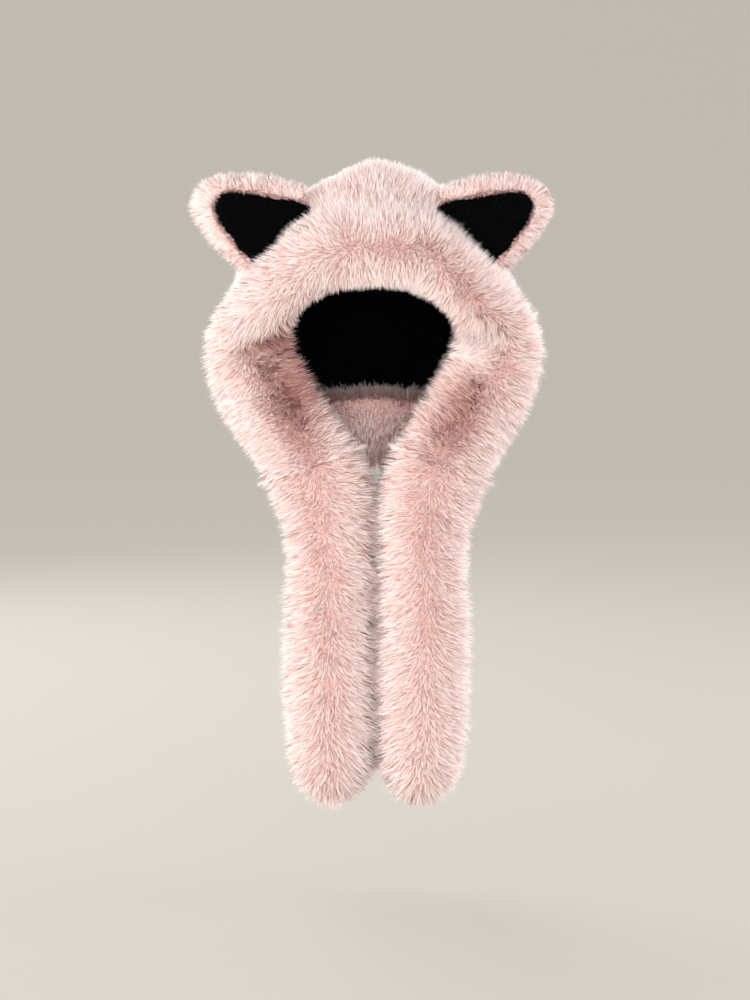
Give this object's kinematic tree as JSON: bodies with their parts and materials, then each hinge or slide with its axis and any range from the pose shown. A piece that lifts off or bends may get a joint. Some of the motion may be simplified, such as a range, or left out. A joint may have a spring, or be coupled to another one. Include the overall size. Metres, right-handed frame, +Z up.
{
  "type": "animal hood scarf",
  "caption": "Deep faux fur hood with a plush lining, pointed animal ears, a fur strip round the face and two long scarf ends that hang in front.",
  "frame": {"origin": "Top of the hollow inside the crown, where a head carries the hood. +X is to the right seen from the front, +Y goes to the back of the head and +Z is up.", "axes": "+X across the ears to the right, +Y to the back of the head, +Z up"},
  "size_m": [0.4802, 0.3025, 0.8687],
  "materials": {
    "fur": "matte",
    "plush": "matte"
  },
  "bodies": {
    "root": {"hood_shell": "fur", "face_band": "fur", "collar": "fur", "scarf_end_left": "fur", "scarf_end_right": "fur", "ear_left": "fur", "ear_right": "fur", "hood_lining": "plush", "ear_panel_left": "plush", "ear_panel_right": "plush"}
  },
  "joints": []
}
